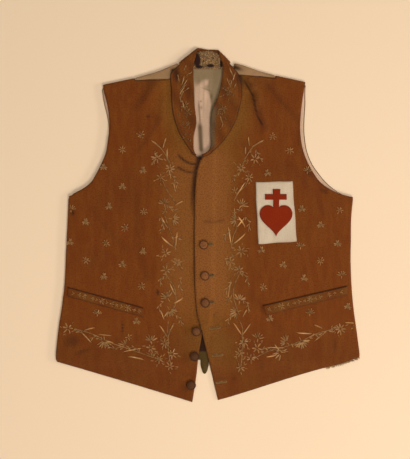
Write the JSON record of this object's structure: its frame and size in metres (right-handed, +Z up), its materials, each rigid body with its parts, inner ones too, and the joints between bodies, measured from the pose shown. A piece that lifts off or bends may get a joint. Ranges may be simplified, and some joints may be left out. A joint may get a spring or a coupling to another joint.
{
  "type": "embroidered waistcoat",
  "caption": "Historic sleeveless waistcoat laid flat on its back, with a shawl collar, a buttoned and embroidered front, pocket welts and a breast badge.",
  "frame": {"origin": "middle of the garment's outline seen from above, on the surface that it lies on", "axes": "+X towards the left side of whoever wears it, +Y towards the collar, +Z up from the surface"},
  "size_m": [0.5335, 0.6218, 0.0128],
  "materials": {
    "rust_cloth": "faded rust-brown silk, matt with a slight sheen",
    "collar_cloth": "darker brown silk, matt",
    "back_cloth": "plain beige cotton, matt",
    "lining": "pinkish-white linen lining, matt",
    "facing": "worn speckled neck band, matt",
    "linen": "off-white linen, matt",
    "red_cloth": "red wool cloth, matt",
    "button_cloth": "cloth-covered button, worn, matt"
  },
  "bodies": {
    "root": {"back": "back_cloth", "back_lining": "lining", "collar_facing": "facing", "right_front": "rust_cloth", "left_front": "rust_cloth", "right_collar": "collar_cloth", "left_collar": "collar_cloth", "right_welt": "rust_cloth", "left_welt": "rust_cloth", "badge": "linen", "badge_heart": "red_cloth", "button_1": "button_cloth", "button_2": "button_cloth", "button_3": "button_cloth", "button_4": "button_cloth", "button_5": "button_cloth", "button_6": "button_cloth"}
  },
  "joints": []
}
